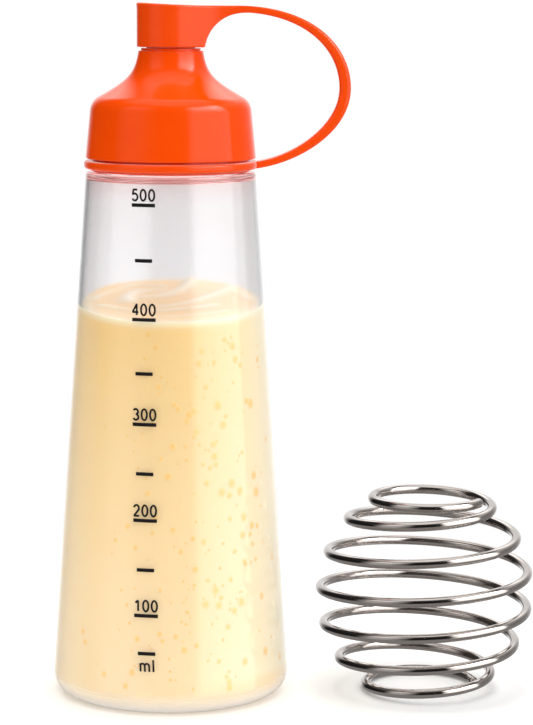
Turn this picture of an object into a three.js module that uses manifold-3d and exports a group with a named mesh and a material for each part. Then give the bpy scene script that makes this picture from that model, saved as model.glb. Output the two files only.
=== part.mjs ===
// Squeeze bottle for batter: a tapered bottle, a screw lid with a pouring nozzle, a tip cap on a looped
// strap, and a coiled wire mixing ball that stands beside it.
// Millimetres, +Z up. The origin is where the bottle's axis meets the table.

import * as THREE from 'three';
import { mergeVertices } from 'three/addons/utils/BufferGeometryUtils.js';
import Module from 'manifold-3d';

// Facets and fits
const SEGMENTS = 48; // facets round a turned piece
const ROUND_STEPS = 4; // facets in a rounded corner
const FLARE_STEPS = 8; // facets in the lid's flare
const LOOP_STEPS = 22; // facets along the strap's loop
const FIT = 0.3; // clearance between pieces that seat on each other

// Bottle
const BASE_RADIUS = 38.1; // the wall's cone carried down to the table
const SHOULDER_RADIUS = 26.7; // the same cone at the shoulder
const SHOULDER_HEIGHT = 166.9;
const BOTTLE_WALL = 1.2;
const BOTTLE_FLOOR = 1.6;
const HEEL_ROUND = 6.4; // outside rounding from base to wall
const SHOULDER_ROUND = 0.8;
const FOOT_WIDTH = 5; // flat ring that the bottle stands on
const PUSH_UP = 1; // height of the hollow inside the foot ring
const SHOULDER_STEP = 4.7; // from the wall's cone in to the neck
const NECK_WALL = 1.8;
const NECK_FILLET = 0.8;

// Batter inside the bottle
const BATTER_LEVEL = 126; // at the bottle's axis
const BATTER_TILT = THREE.MathUtils.degToRad(7.75); // rises towards the back

// Lid
const THREAD_DEPTH = 0.9; // room between neck and bore for the thread
const SLEEVE_WALL = 1.4; // sleeve that the tether ring turns on
const BEAD_DEPTH = 0.5; // bead that keeps the ring on the sleeve
const BEAD_HEIGHT = 0.4;
const SKIRT_INSET = 0.45; // the skirt's foot lies inside the ring's outline
const SKIRT_TAPER = 1.45; // loss of radius from the skirt's foot to its top
const SKIRT_HEIGHT = 15;
const SKIRT_EDGE = 0.4; // rounding of the skirt's foot
const CORNER_ROUND = 5.4; // from skirt into flare
const FLARE_HEIGHT = 18.1; // from the skirt's top to the lid's neck
const FLARE_FOOT_ANGLE = THREE.MathUtils.degToRad(29); // slope where the flare leaves the corner
const FLARE_NECK_ANGLE = THREE.MathUtils.degToRad(80); // slope where it reaches the neck
const FLARE_PULL = 0.85; // how far the curve follows its end tangents
const LID_WALL = 1.8;
const LAND_RISE = 2; // the seal's seat above the skirt's top
const NECK_EDGE = 0.5; // rounding of the lid's neck
const COLLAR_HEIGHT = 0.8; // landing under the tip cap
const COLLAR_INSET = 1.3; // the landing lies inside the cap's outline
const NECK_INSET = 0.45; // so does the lid's neck
const NOZZLE_BORE = 4.5;
const NOZZLE_WALL = 2.1; // at the tip
const NOZZLE_TAPER = 1; // gain of radius from tip to landing
const NOZZLE_HEIGHT = 11.1;
const NOZZLE_EDGE = 0.5;
const FUNNEL_DROP = 0.8; // the funnel ends this far under the lid's neck
const FUNNEL_RISE = 3.6; // height over which it narrows to the bore
const SEAL_THICKNESS = 1.5;

// Tether: ring, strap and tip cap
const RING_WIDTH = 2.4;
const RING_HEIGHT = 2.6;
const RING_ROUND = 1.1;
const RING_PLAY = 0.7; // gap between ring and skirt
const STRAP_WIDTH = 7;
const STRAP_THICKNESS = 2.1; // at both ends
const STRAP_BELLY = 1.5; // gain of thickness at the loop's far side
const STRAP_ROUND = 0.8;
const LOOP_CENTRE = 21.2; // from the bottle's axis
const LOOP_REACH = 33.55; // from the loop's centre to its far side
const UPPER_SWELL = 0.52; // how far the loop lies outside an ellipse at its upper diagonal
const LOWER_EASE = 0.58; // and inside it at its lower one
const TAB_LENGTH = 3.8; // the ring's tab, from the ring out to the strap
const CAP_WALL = 2.8;
const CAP_ROOF = 1.9;
const CAP_EDGE = 0.4;
const CAP_FLARE = 0.3; // lip at the cap's top
const CAP_FLARE_HEIGHT = 2.6;
const ARM_FILLET = 12.2; // under the arm, from the cap's side into the strap
const ARM_LENGTH = 3.1; // the arm past that fillet
const ARM_WAIST = 2.3; // off the cap, where the arm's sides turn level with the strap

// Mixing ball: one wire wound on an ellipsoid, with a level ring at each end
const WIRE_RADIUS = 1.55;
const BALL_RADIUS = 33.55; // of the wire's centre at the widest turn
const BALL_HALF_HEIGHT = 35.7; // of the ellipsoid
const TOP_RING_ANGLE = THREE.MathUtils.degToRad(31.4); // from the ellipsoid's upper pole
const BOTTOM_RING_ANGLE = THREE.MathUtils.degToRad(31.2); // from its lower pole
const TOP_RING_TURNS = 0.68;
const COIL_TURNS = 5.72;
const BOTTOM_RING_TURNS = 0.53;
const COIL_BLEND = 0.02; // share of the coil that eases into the rings
const COIL_SPREAD = 0.16; // how much wider the turns are spaced at both ends than evenly
const BALL_START = THREE.MathUtils.degToRad(-22); // plan angle of the wire's upper end
const BALL_SKEW = 0.025; // shift to the right per unit of height
const BALL_GAP = 8.5; // from the bottle's base to the ball
const WIRE_SIDES = 6;
const STEPS_PER_TURN = 24;

// Heights of the lid's stack, from the shoulder up
const sleeveBottom = SHOULDER_HEIGHT + FIT;
const beadTop = sleeveBottom + BEAD_HEIGHT;
const ringBottom = beadTop + FIT;
const ringTop = ringBottom + RING_HEIGHT;
const skirtBottom = ringTop + RING_PLAY;
const skirtTop = skirtBottom + SKIRT_HEIGHT;
const landHeight = skirtTop + LAND_RISE;
const sealTop = landHeight - FIT;
const sealBottom = sealTop - SEAL_THICKNESS;
const rimHeight = sealBottom - FIT;
const lidNeckTop = skirtTop + FLARE_HEIGHT;
const landingBottom = lidNeckTop + NECK_EDGE;
const landingTop = landingBottom + COLLAR_HEIGHT;
const nozzleTop = landingTop + NOZZLE_HEIGHT;
const capBottom = landingTop + FIT;
const capTop = nozzleTop + FIT + CAP_ROOF;

// Radii of the neck, the lid and the tether, from the inside out
const neckRadius = SHOULDER_RADIUS - SHOULDER_STEP;
const neckBore = neckRadius - NECK_WALL;
const lidBore = neckRadius + THREAD_DEPTH + FIT;
const sleeveRadius = lidBore + SLEEVE_WALL;
const ringBore = sleeveRadius + FIT;
const ringRadius = ringBore + RING_WIDTH;
const skirtRadius = ringRadius - SKIRT_INSET;
const skirtTopRadius = skirtRadius - SKIRT_TAPER;
const nozzleTipRadius = NOZZLE_BORE + NOZZLE_WALL;
const nozzleRadius = nozzleTipRadius + NOZZLE_TAPER;
const capBore = nozzleRadius + FIT;
const capRadius = capBore + CAP_WALL;
const landingRadius = capRadius - COLLAR_INSET;
const lidNeckRadius = capRadius - NECK_INSET;

const wasm = await Module();
wasm.setup();

// Shorthand for a point of a profile: radius and height, or X and Z
function at(across, up) {
  return new THREE.Vector2(across, up);
}

// Points of a circular arc
function arc(centre, radius, from, to) {
  return Array.from({ length: ROUND_STEPS + 1 }, (_, i) => {
    const angle = from + ((to - from) * i) / ROUND_STEPS;
    return at(centre.x + radius * Math.cos(angle), centre.y + radius * Math.sin(angle));
  });
}

// A profile of radius and height turned about the Z axis
function turned(profile) {
  return new THREE.LatheGeometry(profile, SEGMENTS).rotateX(Math.PI / 2);
}

// A turned ring whose section closes on itself
function turnedRing(section) {
  return turned([...section, section[0]]);
}

// An outline in X and Z, extruded to both sides of the plane Y = 0, with rounded edges if asked
function sideways(outline, width, round = 0) {
  const bevel = { bevelEnabled: round > 0, bevelSegments: 2, bevelSize: round, bevelThickness: round };
  const depth = width - 2 * round;
  const geometry = new THREE.ExtrudeGeometry(new THREE.Shape(outline), {
    ...bevel,
    bevelOffset: -round,
    depth,
    steps: 1,
  });
  return geometry.translate(0, 0, -depth / 2).rotateX(Math.PI / 2);
}

// An outline in X and Y, extruded from one height to another
function upright(outline, bottom, top) {
  const geometry = new THREE.ExtrudeGeometry(new THREE.Shape(outline), {
    bevelEnabled: false,
    depth: top - bottom,
    steps: 1,
  });
  return geometry.translate(0, 0, bottom);
}

// A closed geometry as a solid that can be joined and cut
function solid(geometry) {
  const bare = geometry.clone();
  bare.deleteAttribute('normal');
  bare.deleteAttribute('uv');
  const merged = mergeVertices(bare);
  const corners = merged.index.array;
  const kept = [];
  for (let i = 0; i < corners.length; i += 3) {
    const [a, b, c] = [corners[i], corners[i + 1], corners[i + 2]];
    if (a !== b && b !== c && c !== a) kept.push(a, b, c);
  }
  const vertProperties = new Float32Array(merged.attributes.position.array);
  return new wasm.Manifold(new wasm.Mesh({ numProp: 3, vertProperties, triVerts: new Uint32Array(kept) }));
}

// A solid back as a geometry
function surface(body) {
  const mesh = body.getMesh();
  const geometry = new THREE.BufferGeometry();
  geometry.setAttribute('position', new THREE.BufferAttribute(mesh.vertProperties, 3));
  geometry.setIndex(new THREE.BufferAttribute(mesh.triVerts, 1));
  geometry.computeVertexNormals();
  return geometry;
}

// The bottle's wall is a straight cone: its radius at a height, moved inwards square to the wall
const wallLean = Math.atan((BASE_RADIUS - SHOULDER_RADIUS) / SHOULDER_HEIGHT);

function wallRadius(height, depth) {
  return BASE_RADIUS - height * Math.tan(wallLean) - depth / Math.cos(wallLean);
}

// Rounding from a level floor up into the cone, and from the cone into a level shoulder
function heel(floor, depth, round) {
  const height = floor + round;
  return arc(at(wallRadius(height, depth + round), height), round, -Math.PI / 2, wallLean);
}

function shoulder(top, depth, round) {
  const height = top - round;
  return arc(at(wallRadius(height, depth + round), height), round, wallLean, Math.PI / 2);
}

const floorTop = PUSH_UP + BOTTLE_FLOOR;
const innerHeelRound = HEEL_ROUND - BOTTLE_WALL;

function bottle() {
  const outerHeel = heel(0, 0, HEEL_ROUND);
  const footInside = outerHeel[0].x - FOOT_WIDTH;
  const innerShoulderTop = SHOULDER_HEIGHT - NECK_WALL;
  const filletCentre = at(neckRadius + NECK_FILLET, SHOULDER_HEIGHT + NECK_FILLET);
  return turned([
    at(0, PUSH_UP),
    at(footInside - PUSH_UP, PUSH_UP),
    at(footInside, 0),
    ...outerHeel,
    ...shoulder(SHOULDER_HEIGHT, 0, SHOULDER_ROUND),
    ...arc(filletCentre, NECK_FILLET, -Math.PI / 2, -Math.PI),
    at(neckRadius, rimHeight),
    at(neckBore, rimHeight),
    at(neckBore, innerShoulderTop),
    ...shoulder(innerShoulderTop, BOTTLE_WALL, SHOULDER_ROUND).reverse(),
    ...heel(floorTop, BOTTLE_WALL, innerHeelRound).reverse(),
    at(0, floorTop),
  ]);
}

// The batter fills the cavity up to a tilted surface
function batter() {
  const depth = BOTTLE_WALL + FIT;
  const crest = BATTER_LEVEL + BASE_RADIUS * Math.tan(BATTER_TILT);
  const fill = turned([
    at(0, floorTop + FIT),
    ...heel(floorTop + FIT, depth, innerHeelRound - FIT),
    at(wallRadius(crest, depth), crest),
    at(0, crest),
  ]);
  const span = 4 * BASE_RADIUS;
  const above = new THREE.BoxGeometry(span, span, span).translate(0, 0, span / 2);
  above.rotateX(BATTER_TILT).translate(0, 0, BATTER_LEVEL);
  return surface(solid(fill).subtract(solid(above)));
}

// A curve that leaves one point at the flare's foot slope and reaches another at its neck slope
function flare(foot, neck) {
  const footWay = at(-Math.cos(FLARE_FOOT_ANGLE), Math.sin(FLARE_FOOT_ANGLE));
  const neckWay = at(Math.cos(FLARE_NECK_ANGLE), -Math.sin(FLARE_NECK_ANGLE));
  const between = neck.clone().sub(foot);
  const turn = footWay.cross(neckWay);
  const footPull = (FLARE_PULL * between.cross(neckWay)) / turn;
  const neckPull = (FLARE_PULL * between.cross(footWay)) / turn;
  return new THREE.CubicBezierCurve(
    foot,
    foot.clone().addScaledVector(footWay, footPull),
    neck.clone().addScaledVector(neckWay, neckPull),
    neck,
  ).getPoints(FLARE_STEPS);
}

function lid() {
  const skirtLean = Math.atan(SKIRT_TAPER / SKIRT_HEIGHT);
  const cornerCentre = at(
    skirtTopRadius - CORNER_ROUND * Math.cos(skirtLean),
    skirtTop - CORNER_ROUND * Math.sin(skirtLean),
  );
  const corner = arc(cornerCentre, CORNER_ROUND, skirtLean, Math.PI / 2 - FLARE_FOOT_ANGLE);
  const cornerEnd = corner.pop();
  const innerRound = CORNER_ROUND - LID_WALL;
  const innerFoot = at(
    cornerCentre.x + innerRound * Math.sin(FLARE_FOOT_ANGLE),
    cornerCentre.y + innerRound * Math.cos(FLARE_FOOT_ANGLE),
  );
  const throat = at(neckBore, innerFoot.y + (innerFoot.x - neckBore) * Math.tan(FLARE_FOOT_ANGLE));
  const funnel = at(nozzleRadius, lidNeckTop - FUNNEL_DROP);
  return turnedRing([
    at(lidBore, sleeveBottom),
    at(sleeveRadius + BEAD_DEPTH, sleeveBottom),
    at(sleeveRadius + BEAD_DEPTH, beadTop),
    at(sleeveRadius, beadTop),
    at(sleeveRadius, skirtBottom),
    at(skirtRadius - SKIRT_EDGE, skirtBottom),
    at(skirtRadius, skirtBottom + SKIRT_EDGE),
    ...corner,
    ...flare(cornerEnd, at(lidNeckRadius, lidNeckTop)),
    at(lidNeckRadius - NECK_EDGE, landingBottom),
    at(landingRadius, landingBottom),
    at(landingRadius, landingTop),
    at(nozzleRadius, landingTop),
    at(nozzleTipRadius, nozzleTop - NOZZLE_EDGE),
    at(nozzleTipRadius - NOZZLE_EDGE, nozzleTop),
    at(NOZZLE_BORE, nozzleTop),
    at(NOZZLE_BORE, funnel.y + FUNNEL_RISE),
    ...flare(throat, funnel).reverse(),
    at(neckBore, landHeight),
    at(lidBore, landHeight),
  ]);
}

// Flat ring between the bottle's rim and the lid
function lidSeal() {
  const outside = lidBore - FIT;
  return turnedRing([
    at(neckBore, sealBottom),
    at(outside, sealBottom),
    at(outside, sealTop),
    at(neckBore, sealTop),
  ]);
}

// The loop's angle at a distance from the bottle's axis
function loopAngle(across) {
  return Math.acos((across - LOOP_CENTRE) / LOOP_REACH);
}

const capSplit = loopAngle(capRadius + ARM_FILLET + ARM_LENGTH);
const ringSplit = -loopAngle(ringRadius + TAB_LENGTH);
const tabRoot = -loopAngle(ringRadius - RING_WIDTH / 2);

// The loop is an ellipse, swollen at its upper diagonal and flattened at its lower one. It is level with
// the cap's top at one end and meets the ring at half its height at the other.
const loopTop = capTop - STRAP_THICKNESS / 2;
const ringMiddle = ringBottom + RING_HEIGHT / 2;
const ringAngle = loopAngle(ringRadius);
const loopRise = (loopTop - ringMiddle) / (1 + Math.sin(ringAngle));
const loopMiddle = loopTop - loopRise;

function loopPoint(angle) {
  const ease = (angle > 0 ? -UPPER_SWELL : LOWER_EASE) * Math.sin(2 * angle) ** 2;
  return at(
    LOOP_CENTRE + (LOOP_REACH - ease) * Math.cos(angle),
    loopMiddle + (loopRise - ease) * Math.sin(angle),
  );
}

// Way along the loop per radian, found by a small step to both sides
function loopWay(angle) {
  const step = 0.001;
  return loopPoint(angle + step).sub(loopPoint(angle - step)).divideScalar(2 * step);
}

// A point on the strap's outer edge (side 1) or inner edge (side -1)
function strapEdge(angle, side) {
  const thickness = STRAP_THICKNESS + STRAP_BELLY * Math.cos(angle) ** 2;
  const way = loopWay(angle).normalize();
  return loopPoint(angle).addScaledVector(at(way.y, -way.x), (side * thickness) / 2);
}

// Outline of a stretch of strap: out along one edge and back along the other
function strapOutline(from, to, steps) {
  const angles = Array.from({ length: steps + 1 }, (_, i) => from + ((to - from) * i) / steps);
  const outer = angles.map((angle) => strapEdge(angle, 1));
  const inner = angles.map((angle) => strapEdge(angle, -1));
  return [...outer, ...inner.reverse()];
}

// The free strap, clear of the cap's arm and the ring's tab by the fit
function tetherStrap() {
  const from = capSplit - FIT / loopWay(capSplit).length();
  const to = ringSplit + FIT / loopWay(ringSplit).length();
  return sideways(strapOutline(from, to, LOOP_STEPS), STRAP_WIDTH, STRAP_ROUND);
}

// The ring turns on the lid's sleeve, and its tab starts the strap
function tetherRing() {
  const low = ringBottom + RING_ROUND;
  const high = ringTop - RING_ROUND;
  const near = ringBore + RING_ROUND;
  const far = ringRadius - RING_ROUND;
  const ring = turnedRing([
    at(ringBore, low),
    at(near, ringBottom),
    ...arc(at(far, low), RING_ROUND, -Math.PI / 2, 0),
    ...arc(at(far, high), RING_ROUND, 0, Math.PI / 2),
    at(near, ringTop),
    at(ringBore, high),
  ]);
  const tab = sideways(strapOutline(ringSplit, tabRoot, ROUND_STEPS), STRAP_WIDTH, STRAP_ROUND);
  return surface(solid(ring).add(solid(tab)));
}

// The arm seen from the side: level with the cap's top, with a wide fillet below
function armSide() {
  const upper = strapEdge(capSplit, 1);
  const lower = strapEdge(capSplit, -1);
  const filletCentre = at(capRadius + ARM_FILLET, lower.y - ARM_FILLET);
  return [
    at(0, capTop),
    at(0, filletCentre.y),
    ...arc(filletCentre, ARM_FILLET, Math.PI, Math.PI / 2),
    lower,
    upper,
    at(capRadius, capTop),
  ];
}

// The arm seen from above: each side leaves the cap's round along a tangent and runs out level with
// the strap
function armPlan() {
  const end = at(strapEdge(capSplit, 1).x, STRAP_WIDTH / 2);
  const waist = at(capRadius + ARM_WAIST, end.y);
  const touch = waist.angle() + Math.acos(capRadius / waist.length());
  const tangent = at(capRadius * Math.cos(touch), capRadius * Math.sin(touch));
  const side = new THREE.QuadraticBezierCurve(end, waist, tangent).getPoints(ROUND_STEPS);
  const half = [...side, at(0, capRadius)];
  const mirrored = half.map((point) => at(point.x, -point.y)).reverse();
  return [...half, ...mirrored];
}

// Push-on cap over the nozzle, with the strap's arm
function tipCap() {
  const body = turned([
    at(0, capBottom),
    at(capRadius - CAP_EDGE, capBottom),
    at(capRadius, capBottom + CAP_EDGE),
    at(capRadius, capTop - CAP_FLARE_HEIGHT),
    at(capRadius + CAP_FLARE, capTop - CAP_EDGE),
    at(capRadius + CAP_FLARE - CAP_EDGE, capTop),
    at(0, capTop),
  ]);
  const bore = turned([
    at(0, capBottom - CAP_EDGE),
    at(capBore, capBottom - CAP_EDGE),
    at(capBore, capTop - CAP_ROOF),
    at(0, capTop - CAP_ROOF),
  ]);
  const side = solid(sideways(armSide(), 2 * (capRadius + CAP_FLARE)));
  const arm = side.intersect(solid(upright(armPlan(), capBottom, capTop)));
  return surface(solid(body).add(arm).subtract(solid(bore)));
}

// Rises from 0 to 1 over the unit step, a little faster near both ends, and eases into the levels there
function easedRamp(share) {
  const ramp = (1 + Math.hypot(share, COIL_BLEND) - Math.hypot(share - 1, COIL_BLEND)) / 2;
  return ramp + COIL_SPREAD * ramp * (1 - ramp) * (1 - 2 * ramp);
}

// Centre line of the wire: the angle from the upper pole grows with the turns, and the ball leans a little
class BallWire extends THREE.Curve {
  constructor() {
    super();
    this.turns = TOP_RING_TURNS + COIL_TURNS + BOTTOM_RING_TURNS;
    this.arcLengthDivisions = 8 * STEPS_PER_TURN * Math.ceil(this.turns);
  }

  getPoint(share, target = new THREE.Vector3()) {
    const turn = share * this.turns;
    const ramp = easedRamp((turn - TOP_RING_TURNS) / COIL_TURNS);
    const polar = TOP_RING_ANGLE + (Math.PI - BOTTOM_RING_ANGLE - TOP_RING_ANGLE) * ramp;
    const plan = BALL_START - 2 * Math.PI * turn;
    const radius = BALL_RADIUS * Math.sin(polar);
    const height = BALL_HALF_HEIGHT * Math.cos(polar);
    return target.set(radius * Math.cos(plan) + BALL_SKEW * height, radius * Math.sin(plan), height);
  }
}

// Least gap between turns of the wire, measured on points more than half a turn apart
function leastGap(wire, steps) {
  const points = wire.getSpacedPoints(steps);
  const apart = STEPS_PER_TURN / 2;
  let least = Infinity;
  for (let i = 0; i < points.length; i++) {
    for (let j = i + apart; j < points.length; j++) {
      least = Math.min(least, points[i].distanceTo(points[j]));
    }
  }
  return least - 2 * WIRE_RADIUS;
}

function mixingBall() {
  const wire = new BallWire();
  const steps = Math.round(wire.turns * STEPS_PER_TURN);
  console.log(`mixing_ball: least gap between turns ${leastGap(wire, steps).toFixed(2)} mm`);
  const section = Array.from({ length: WIRE_SIDES }, (_, i) => {
    const angle = (2 * Math.PI * i) / WIRE_SIDES;
    return at(WIRE_RADIUS * Math.cos(angle), WIRE_RADIUS * Math.sin(angle));
  });
  const coil = new THREE.ExtrudeGeometry(new THREE.Shape(section), { steps, extrudePath: wire });
  coil.computeBoundingBox();
  return coil.translate(0, 0, -coil.boundingBox.min.z);
}

const dispenser = new THREE.Group();

function addPart(name, geometry, color, roughness, metalness = 0) {
  const mesh = new THREE.Mesh(geometry, new THREE.MeshStandardMaterial({ color, roughness, metalness }));
  mesh.name = name;
  dispenser.add(mesh);
  return mesh;
}

addPart('bottle', bottle(), 0xe8eaec, 0.35);
addPart('batter', batter(), 0xf6e2b6, 0.5);
addPart('lid', lid(), 0xff4d0a, 0.22);
addPart('lid_seal', lidSeal(), 0xf2f2ee, 0.6);
addPart('tether_ring', tetherRing(), 0xff4d0a, 0.3);
addPart('tether_strap', tetherStrap(), 0xff4d0a, 0.3);
addPart('tip_cap', tipCap(), 0xff4d0a, 0.3);

const ball = addPart('mixing_ball', mixingBall(), 0xb9b7b3, 0.15, 1);
ball.position.x = BASE_RADIUS + BALL_GAP + BALL_RADIUS + WIRE_RADIUS;

export default dispenser;
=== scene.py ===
import math

import bmesh
import bpy
import numpy as np
from mathutils import Matrix


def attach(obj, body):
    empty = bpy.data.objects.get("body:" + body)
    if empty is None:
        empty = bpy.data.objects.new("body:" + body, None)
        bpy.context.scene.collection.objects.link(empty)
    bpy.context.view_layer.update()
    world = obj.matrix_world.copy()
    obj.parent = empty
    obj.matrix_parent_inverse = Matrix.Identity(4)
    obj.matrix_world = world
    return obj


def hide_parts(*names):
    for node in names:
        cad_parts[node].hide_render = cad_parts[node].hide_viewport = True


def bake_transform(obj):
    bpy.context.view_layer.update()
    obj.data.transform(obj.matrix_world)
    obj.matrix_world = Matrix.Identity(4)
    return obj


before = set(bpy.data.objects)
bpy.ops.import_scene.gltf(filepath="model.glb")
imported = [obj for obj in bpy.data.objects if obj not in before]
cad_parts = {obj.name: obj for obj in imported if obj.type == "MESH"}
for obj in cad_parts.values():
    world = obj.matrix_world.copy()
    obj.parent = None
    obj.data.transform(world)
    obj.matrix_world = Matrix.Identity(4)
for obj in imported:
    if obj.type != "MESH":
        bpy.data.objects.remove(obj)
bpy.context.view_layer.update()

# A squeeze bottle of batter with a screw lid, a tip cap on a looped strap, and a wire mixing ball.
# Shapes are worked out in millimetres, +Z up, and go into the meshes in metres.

MM = 0.001
TURN = 2 * math.pi

# Bottle
BASE_RADIUS = 38.1  # the wall's cone carried down to the table
SHOULDER_RADIUS = 26.7
SHOULDER_HEIGHT = 166.9
BOTTLE_WALL = 1.2
BOTTLE_FLOOR = 1.6
HEEL_ROUND = 6.4
SHOULDER_ROUND = 0.8
FOOT_WIDTH = 5
PUSH_UP = 1
NECK_RADIUS = 22.0
NECK_BORE = 20.2
NECK_WALL = 1.8
NECK_FILLET = 0.8
RIM_HEIGHT = 186.1
RIM_ROUND = 0.5
PAINTED_GLOW_FOOT, PAINTED_GLOW_TOP = 140.0, 170.0  # heights between which the wall's colour changes to a painted pink glow of the orange ring
HAZE_FOOT, HAZE_TOP = 1.0, 7.5  # heights between which the heel's haze clears

# Screw thread on the neck
THREAD_DEPTH = 0.7
THREAD_WIDTH = 1.5  # at its root
THREAD_LEAD = 4.0
THREAD_TURNS = 2.25
THREAD_START = 171.5
THREAD_FADE = 0.12  # turns

# Batter
WETTING = 0.02  # the batter wets the wall, so its skin lies this far inside the wall's own
BATTER_LEVEL = 126.0
BATTER_TILT = math.radians(7.75)
BATTER_COLUMNS, SIDE_ROWS, TOP_ROWS = 330, 120, 80  # of its mesh
FOLD_SAMPLES = 24
# Folds of the poured surface as curves: start, pull, end, height, width
FOLDS = [
    ((5.5, 26), (4.0, 4), (-8, 3), 1.6, 2.0),
    ((19, 15), (8, -6), (-3, -9), 1.2, 1.8),
    ((-13.6, -2), (-14.5, 14), (-4, 12), 1.1, 2.4),
    ((14, -7), (4, -13), (-6, -14), 0.9, 1.5),
    ((-25, 0), (-21, 11), (-12, 19), 0.7, 1.5),
    ((25, 2), (23, 9), (17, 15), 0.7, 1.4),
    ((-21, -8), (-15, -12), (-8, -15), 0.6, 1.7),
    ((-3, 17), (-12, 22), (-17, 17), 0.7, 1.6),
    ((17, -14), (9, -19), (-1, -21), 0.5, 1.3),
]
PEAK_X, PEAK_Y, PEAK_HEIGHT = 5.5, 25.5, 0.7  # where the stream ended
CALM_WIDTH = 2.0  # of the flat edge along the wall

# Bubbles against the wall
BUBBLE_COUNT = 340
BUBBLE_SEED = 11
BUBBLE_FRONT, BUBBLE_SCATTER = -74, 26  # degrees round the wall where half of them gather
BUBBLE_LOWEST = 8.0
BUBBLE_HIGHEST = 119.0
BUBBLE_LEAST = 0.4  # radius
BUBBLE_SPREAD = 1.25
BUBBLE_RISE = 0.12  # of its dome
BUBBLE_TALL = 1.15  # height to width
BUBBLE_SIDES = 12

# Lid
LID_BORE = 23.2
SLEEVE_RADIUS = 24.6
SLEEVE_BOTTOM = 167.2
BEAD_RADIUS = 25.1
BEAD_TOP = 167.6
SKIRT_RADIUS = 26.85
SKIRT_BOTTOM = 171.2
SKIRT_EDGE = 0.4
SKIRT_TOP_RADIUS = 25.4
SKIRT_TOP = 186.2
CORNER_ROUND = 5.4
FLARE_FOOT_ANGLE = math.radians(29)
FLARE_NECK_ANGLE = math.radians(80)
FLARE_PULL = 0.85
LID_WALL = 1.8
LAND_HEIGHT = 188.2
LID_NECK_RADIUS = 10.25
LID_NECK_TOP = 204.3
LANDING_RADIUS = 9.4
LANDING_BOTTOM = 204.8
LANDING_TOP = 205.6
NOZZLE_BORE = 4.5
NOZZLE_RADIUS = 7.6
NOZZLE_TIP_RADIUS = 6.6
NOZZLE_TOP = 216.7
FUNNEL_TOP = 203.5
FUNNEL_RISE = 3.6
SEAL_BOTTOM = 186.4
SEAL_TOP = 187.9
SEAL_RADIUS = LID_BORE - 0.3
SEAL_ROUND = 0.2

# Tether: ring, strap and tip cap
RING_BORE = 24.9
RING_RADIUS = 27.3
RING_BOTTOM = 167.9
RING_TOP = 170.5
RING_ROUND = 1.1
STRAP_WIDTH = 7.0
STRAP_THICKNESS = 2.1
STRAP_BELLY = 1.5
STRAP_ROUND = 0.38  # share of the thickness
STRAP_IN_ARM, STRAP_IN_RING = 7.0, 1.2  # how far its ends reach into both
ARM_EDGE = 0.4
LOOP_CENTRE = 21.2
LOOP_REACH = 33.55
UPPER_SWELL = 0.52
LOWER_EASE = 0.58
CAP_BORE = 7.9
CAP_RADIUS = 10.7
CAP_BOTTOM = 205.9
CAP_TOP = 218.9
CAP_ROOF = 1.9
CAP_LIFT = 0.9  # of the top's far edge, which slopes down to the arm
CAP_EDGE = 0.7
CAP_FLARE = 0.3
CAP_FLARE_HEIGHT = 2.6
ARM_FILLET = 12.2
ARM_END = 26.0  # from the bottle's axis
ARM_WAIST = 2.3
ARM_SINK = 0.15  # the arm's end lies this far inside the strap
CAP_VOXEL = 0.25
CAP_SOFTENING = 6  # rounds of smoothing
ORANGES = ("f64802", "f94f04")  # of the lid and the tether

# Mixing ball
WIRE_RADIUS = 1.55
BALL_RADIUS = 33.55
BALL_HALF_HEIGHT = 35.7
TOP_RING_ANGLE = math.radians(31.4)
BOTTOM_RING_ANGLE = math.radians(31.2)
TOP_RING_TURNS = 0.68
COIL_TURNS = 5.72
BOTTOM_RING_TURNS = 0.53
COIL_BLEND = 0.02
COIL_SPREAD = 0.16
BALL_START = math.radians(-22)
BALL_SKEW = 0.025
BALL_X = 81.7
WIRE_END = 0.012  # share of a turn in which the wire's end rounds off

# Printed scale: volume marks, the heights of their bars and the column's distance from the middle
MARK_HEIGHTS = {500: 158.2, 450: 141.25, 400: 123.2, 350: 106.6, 300: 91.0,
                250: 75.75, 200: 61.35, 150: 46.0, 100: 31.8, 50: 20.0}
COLUMN_TOP_X = -7.5
COLUMN_FOOT_X = -6.0
COLUMN_FOOT, COLUMN_TOP = 15.0, 160.0  # heights
LONG_BAR = 7.55
SHORT_BAR = 5.55
BAR_THICKNESS = 1.1
DIGIT_WIDTH = 2.32
DIGIT_HEIGHT = 3.95
DIGIT_GAP = 0.375
DIGIT_RISE = 1.1  # from the bar's middle to the digit's foot
UNIT_FOOT = 14.1
UNIT_HEIGHT = 4.0
UNIT_WIDTH = 3.4
UNIT_GAP = 0.7
STROKE = 0.62
INK_PROUD = 0.03  # of the wall
INK_FILM = 0.02


# Meshes

def bezier(*controls, steps=16):
    """Curve of any order: neighbouring control points are blended again and again until one is left."""
    share = np.linspace(0, 1, steps + 1)[:, None]
    blends = [np.asarray(control, float)[None] for control in controls]
    while len(blends) > 1:
        blends = [(1 - share) * a + share * b for a, b in zip(blends, blends[1:])]
    return blends[0]


def straight(start, end, steps=10):
    """Points inside a straight, crowded to its ends, so that the shading between them stays plain."""
    share = (1 - np.cos(np.linspace(0, math.pi, steps + 1)))[1:-1, None] / 2
    return np.asarray(start) + (np.asarray(end) - np.asarray(start)) * share


def profile(*corners, straight_steps=8, round_steps=6):
    """Open polyline through corners (across, up, round). Each rounded corner is a quadratic curve
    between points one rounding away from it."""
    given = np.array([(corner + (0,))[:3] for corner in corners], float)
    spots, rounds = given[:, :2], given[:, 2]
    stretches = []
    for index, spot in enumerate(spots):
        bend = spot[None]
        if 0 < index < len(spots) - 1 and rounds[index] > 0:
            before = spots[index - 1] - spot
            after = spots[index + 1] - spot
            bend = bezier(spot + before * rounds[index] / np.linalg.norm(before), spot,
                          spot + after * rounds[index] / np.linalg.norm(after), steps=round_steps)
        if stretches:
            stretches.append(straight(stretches[-1][-1], bend[0], straight_steps))
        stretches.append(bend)
    return np.vstack(stretches)


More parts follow.
